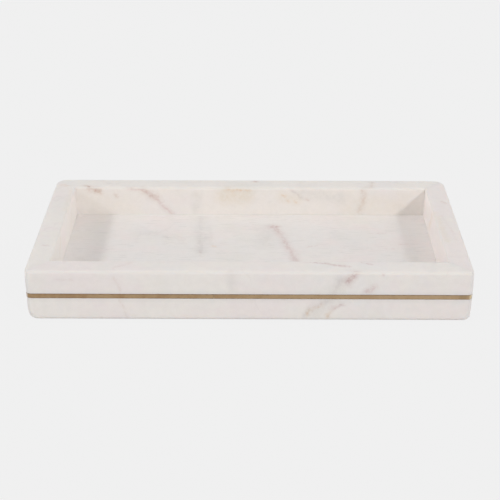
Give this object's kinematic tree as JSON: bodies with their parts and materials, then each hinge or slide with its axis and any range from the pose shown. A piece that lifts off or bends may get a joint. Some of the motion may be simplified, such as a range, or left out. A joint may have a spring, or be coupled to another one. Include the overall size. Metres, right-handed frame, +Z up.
{
  "type": "vanity tray",
  "caption": "Rectangular marble vanity tray with raised mitred rails, a recessed floor and a brass inlay line round its outside.",
  "frame": {"origin": "centre of the tray's footprint, on the surface the pads stand on", "axes": "+X along the tray's long direction, +Y towards its back, +Z up"},
  "size_m": [0.3048, 0.1524, 0.0395],
  "materials": {
    "rail_marble": "polished, warm white with pink and ochre veins",
    "floor_marble": "polished, greyer white with fine grey streaks and a purple vein",
    "stone_adhesive": "cured polyester stone adhesive, ground flush",
    "brass": "ground flush, satin, lightly aged",
    "felt": "pressed wool felt",
    "pad_adhesive": "pressure-sensitive film"
  },
  "bodies": {
    "root": {"brass_back": "brass", "brass_bed_back": "stone_adhesive", "brass_bed_front": "stone_adhesive", "brass_bed_left": "stone_adhesive", "brass_bed_right": "stone_adhesive", "brass_front_left": "brass", "brass_front_right": "brass", "brass_left": "brass", "brass_right": "brass", "floor_film": "stone_adhesive", "floor_slab": "floor_marble", "mitre_film_back_left": "stone_adhesive", "mitre_film_back_right": "stone_adhesive", "mitre_film_front_left": "stone_adhesive", "mitre_film_front_right": "stone_adhesive", "pad_back_left": "felt", "pad_back_right": "felt", "pad_film_back_left": "pad_adhesive", "pad_film_back_right": "pad_adhesive", "pad_film_front_left": "pad_adhesive", "pad_film_front_right": "pad_adhesive", "pad_front_left": "felt", "pad_front_right": "felt", "rail_back": "rail_marble", "rail_front": "rail_marble", "rail_left": "rail_marble", "rail_right": "rail_marble"}
  },
  "joints": []
}
